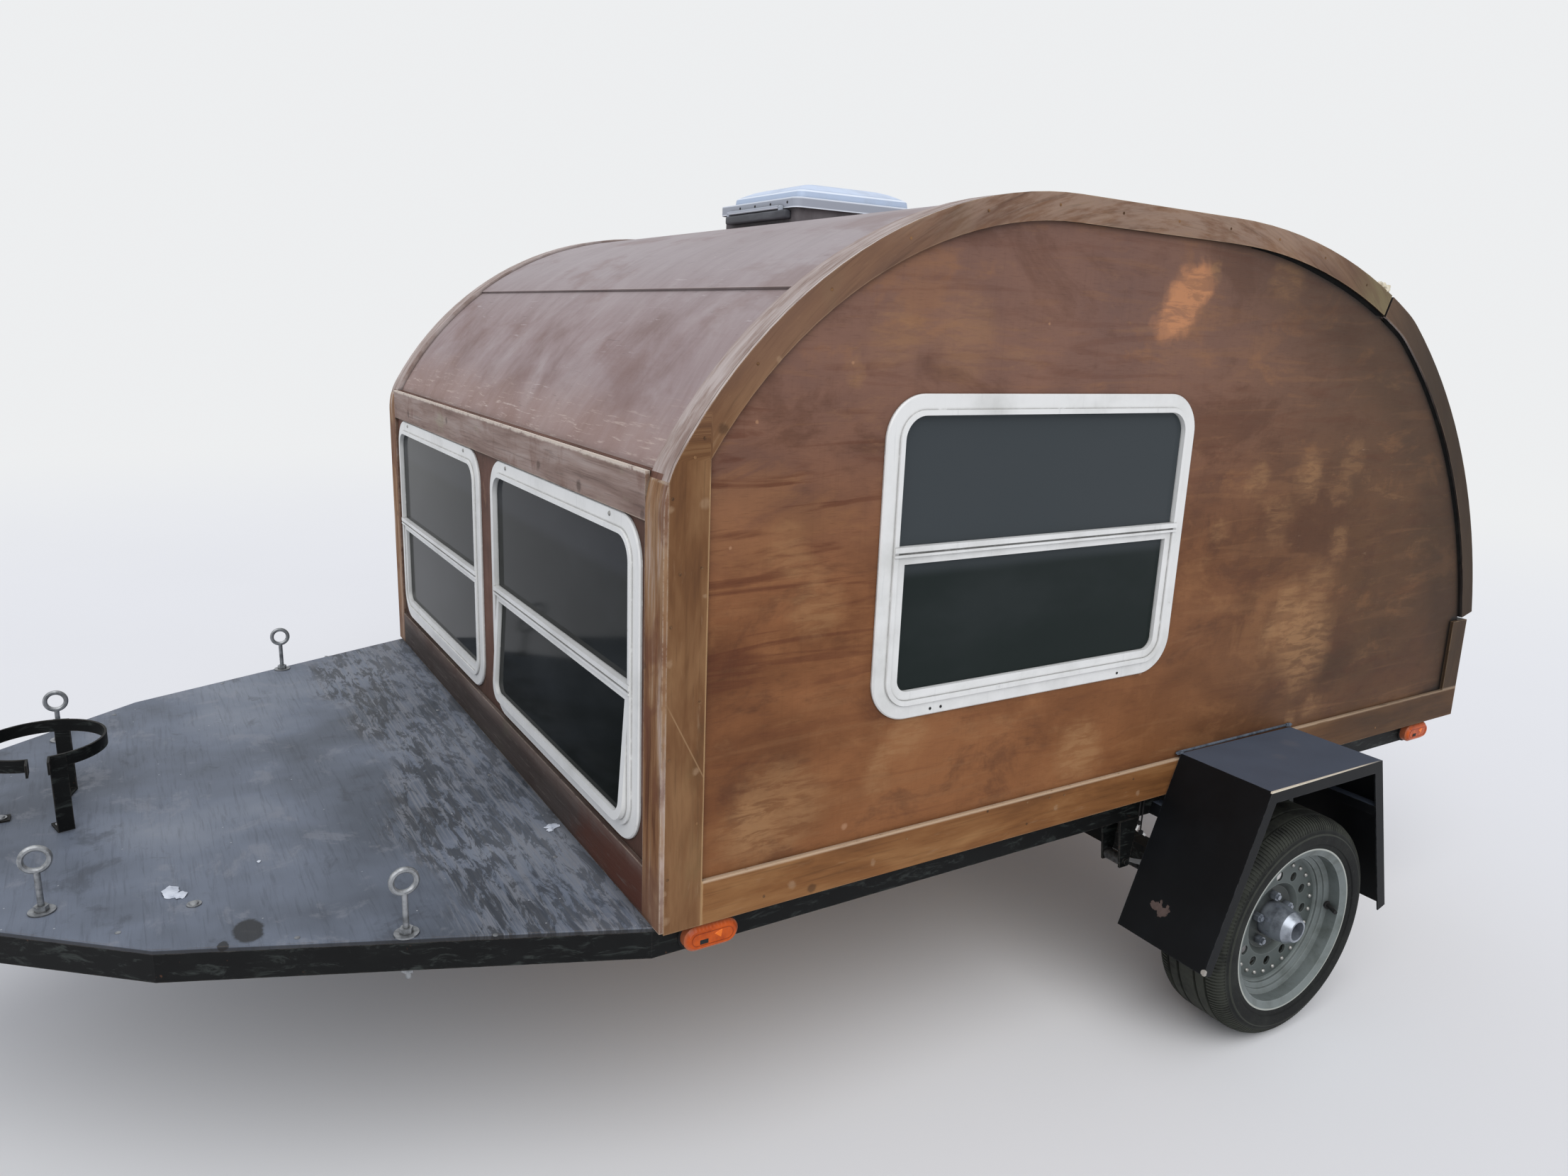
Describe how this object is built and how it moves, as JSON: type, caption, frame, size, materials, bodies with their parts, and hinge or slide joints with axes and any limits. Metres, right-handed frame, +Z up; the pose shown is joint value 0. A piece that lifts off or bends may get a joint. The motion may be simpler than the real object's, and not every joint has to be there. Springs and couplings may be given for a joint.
{
  "type": "teardrop trailer",
  "caption": "Small towed camper with a teardrop plywood cabin, lifting rear hatch, side door, roof vent, front deck, steel frame, wheels and tongue jack.",
  "frame": {"origin": "on the ground under the middle of the trailer's length and width, coupler to hatch", "axes": "+X forward to the coupler, +Y to the trailer's left, +Z up"},
  "size_m": [4.2882, 2.362, 1.8775],
  "materials": {
    "stained_ply": "stained plywood, worn",
    "edge_boards": "dark stained boards, worn at the edges",
    "roof_ply": "weathered plywood, matt",
    "deck_ply": "weathered grey plywood",
    "inner_ply": "plain plywood",
    "frame_paint": "black paint with rust specks",
    "fender_paint": "satin black paint, worn at the folds",
    "rim_steel": "silver, dull",
    "hub_steel": "polished, dull with wear",
    "axle_steel": "dark, rusty",
    "zinc": "zinc plated",
    "hinge_steel": "dark",
    "tyre_rubber": "black rubber",
    "window_white": "white, satin",
    "tinted_glass": "dark tinted",
    "vent_white": "white, satin",
    "amber_lens": "amber lens",
    "red_lens": "red lens"
  },
  "bodies": {
    "trailer": {"axle": "axle_steel", "bulkhead": "inner_ply", "coupler": "frame_paint", "cross_members": "frame_paint", "cylinder_bracket": "frame_paint", "deck": "deck_ply", "deck_arms": "frame_paint", "door_hinge_leaves": "hinge_steel", "drawbar": "frame_paint", "eye_bolts": "zinc", "fender_left": "fender_paint", "fender_right": "fender_paint", "floor": "inner_ply", "front_boards": "edge_boards", "front_wall": "stained_ply", "galley_shelves": "inner_ply", "hatch_hinge_leaf": "hinge_steel", "jack_tube": "frame_paint", "marker_lamps": "amber_lens", "rail_left": "frame_paint", "rail_right": "frame_paint", "rear_panel_lower": "edge_boards", "roof_front": "roof_ply", "roof_rims": "roof_ply", "roof_top": "roof_ply", "side_boards_left": "edge_boards", "side_boards_right": "edge_boards", "side_panel_left": "stained_ply", "side_panel_right": "stained_ply", "spring_clamps": "axle_steel", "spring_hangers": "axle_steel", "springs": "axle_steel", "tail_lamps": "red_lens", "vent_base": "vent_white", "window_frame_left": "window_white", "window_frames_front": "window_white", "window_panes_front": "tinted_glass", "window_panes_left": "tinted_glass"},
    "wheel_left": {"tyre_left": "tyre_rubber", "rim_left": "rim_steel", "hub_left": "hub_steel"},
    "wheel_right": {"tyre_right": "tyre_rubber", "rim_right": "rim_steel", "hub_right": "hub_steel"},
    "hatch": {"hatch": "roof_ply", "hatch_hinge_flap": "hinge_steel", "hatch_handle": "zinc"},
    "door": {"door": "stained_ply", "door_hinge_flaps": "hinge_steel", "door_handle": "zinc", "window_frame_door": "window_white", "window_panes_door": "tinted_glass"},
    "vent_lid": {"vent_lid": "vent_white"},
    "jack_leg": {"jack_leg": "zinc"}
  },
  "joints": [
    {"name": "wheel_left_spin", "type": "hinge", "parent": "trailer", "child": "wheel_left", "pos_m": [-1.17668, 1.081, 0.265], "axis": [0, 1, 0], "continuous": true},
    {"name": "wheel_right_spin", "type": "hinge", "parent": "trailer", "child": "wheel_right", "pos_m": [-1.17668, -1.081, 0.265], "axis": [0, 1, 0], "continuous": true},
    {"name": "hatch_lift", "type": "hinge", "parent": "trailer", "child": "hatch", "pos_m": [-1.51415, 0, 1.66364], "axis": [0, 1, 0], "range_deg": [0, 75]},
    {"name": "door_swing", "type": "hinge", "parent": "trailer", "child": "door", "pos_m": [-0.05068, -0.957, 1.111], "axis": [0, 0, 1], "range_deg": [0, 110]},
    {"name": "vent_lid_lift", "type": "hinge", "parent": "trailer", "child": "vent_lid", "pos_m": [-0.37868, 0, 1.8125], "axis": [0, 1, 0], "range_deg": [0, 60]},
    {"name": "jack_extend", "type": "slide", "parent": "trailer", "child": "jack_leg", "axis": [0, 0, 1], "range_m": [0, 0.25]}
  ]
}
